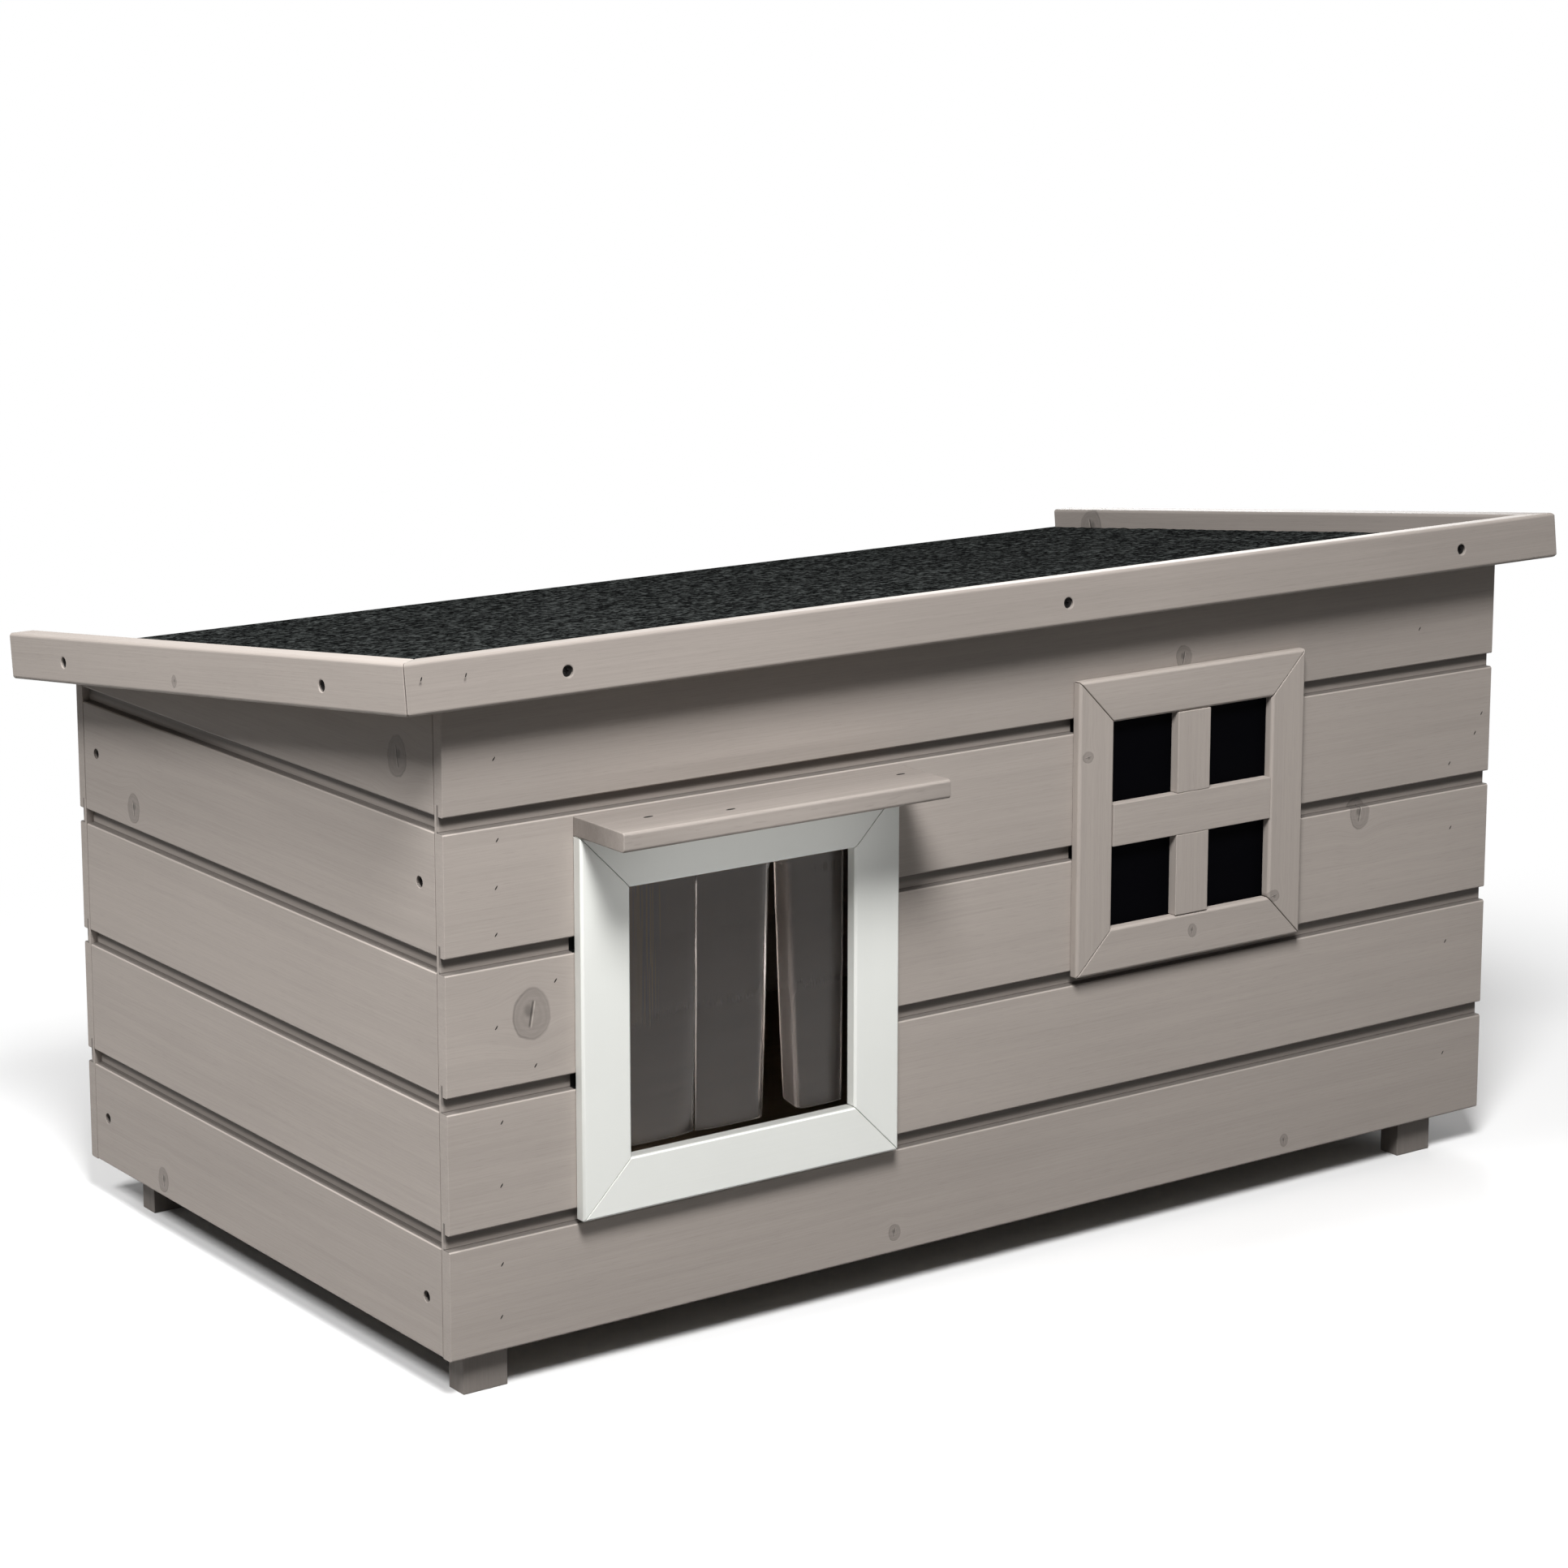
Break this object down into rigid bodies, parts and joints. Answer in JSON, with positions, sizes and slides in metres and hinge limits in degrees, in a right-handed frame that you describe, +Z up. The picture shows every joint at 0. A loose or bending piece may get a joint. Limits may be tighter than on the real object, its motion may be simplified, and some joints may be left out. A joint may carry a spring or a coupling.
{
  "type": "outdoor cat house",
  "caption": "Small weatherproof cabin of grooved boards on short feet, with a lift-up sloping felt roof, a framed doorway closed by swinging clear strips, a canopy and a barred window.",
  "frame": {"origin": "on the ground, at the middle of the outline seen from above, which runs from the canopy's front edge to the roof's back edge", "axes": "+X to the right as seen from the front, +Y from the front to the back, +Z up"},
  "size_m": [1.02, 0.6136, 0.5018],
  "materials": {
    "stained_wood": "warm grey stain, matt, fine sawn grain running along each board",
    "plain_wood": "untreated pale softwood and plywood",
    "white_wood": "off-white paint, satin",
    "felt": "mineral-faced bitumen felt, matt black",
    "clear_strip": "clear flexible plastic sheet, slightly hazy",
    "dark_pane": "near-black sheet, low shine",
    "steel": "zinc plated",
    "black_screws": "black coated, matt"
  },
  "bodies": {
    "cabin": {"front_board_1": "stained_wood", "front_board_2": "stained_wood", "front_board_3": "stained_wood", "front_board_4": "stained_wood", "front_board_5": "stained_wood", "back_board_1": "stained_wood", "back_board_2": "stained_wood", "back_board_3": "stained_wood", "back_board_4": "stained_wood", "left_board_1": "stained_wood", "left_board_2": "stained_wood", "left_board_3": "stained_wood", "left_board_4": "stained_wood", "left_board_5": "stained_wood", "right_board_1": "stained_wood", "right_board_2": "stained_wood", "right_board_3": "stained_wood", "right_board_4": "stained_wood", "right_board_5": "stained_wood", "post_front_left": "plain_wood", "post_front_right": "plain_wood", "post_rear_left": "plain_wood", "post_rear_right": "plain_wood", "post_front_middle": "plain_wood", "post_rear_middle": "plain_wood", "floor_panel": "plain_wood", "floor_bearer_front": "plain_wood", "floor_bearer_rear": "plain_wood", "foot_front_left": "stained_wood", "foot_front_right": "stained_wood", "foot_rear_left": "stained_wood", "foot_rear_right": "stained_wood", "side_screws": "black_screws", "door_frame_bottom": "white_wood", "door_frame_left": "white_wood", "door_frame_top": "white_wood", "door_frame_right": "white_wood", "canopy": "stained_wood", "strip_rod": "steel", "window_frame_bottom": "stained_wood", "window_frame_left": "stained_wood", "window_frame_top": "stained_wood", "window_frame_right": "stained_wood", "window_bars": "stained_wood", "window_pane": "dark_pane", "hinge_wall_leaves": "steel", "hinge_pins": "steel", "hinge_wall_screws": "steel"},
    "roof": {"roof_deck": "plain_wood", "roof_felt": "felt", "fascia_front": "stained_wood", "fascia_left": "stained_wood", "fascia_right": "stained_wood", "roof_battens": "plain_wood", "fascia_screws": "black_screws", "hinge_roof_leaves": "steel", "hinge_roof_screws": "steel"},
    "strip_left": {"strip_1": "clear_strip"},
    "strip_middle": {"strip_2": "clear_strip"},
    "strip_right": {"strip_3": "clear_strip"}
  },
  "joints": [
    {"name": "roof_hinge", "type": "hinge", "parent": "cabin", "child": "roof", "pos_m": [0, 0.2849, 0.40188], "axis": [-1, 0, 0], "range_deg": [0, 95]},
    {"name": "strip_left_swing", "type": "hinge", "parent": "cabin", "child": "strip_left", "pos_m": [-0.3029, -0.2414, 0.3353], "axis": [1, 0, 0], "range_deg": [-33, 80]},
    {"name": "strip_middle_swing", "type": "hinge", "parent": "cabin", "child": "strip_middle", "pos_m": [-0.2415, -0.2414, 0.3353], "axis": [1, 0, 0], "range_deg": [-33, 80]},
    {"name": "strip_right_swing", "type": "hinge", "parent": "cabin", "child": "strip_right", "pos_m": [-0.1801, -0.2414, 0.3353], "axis": [1, 0, 0], "range_deg": [-33, 80]}
  ]
}
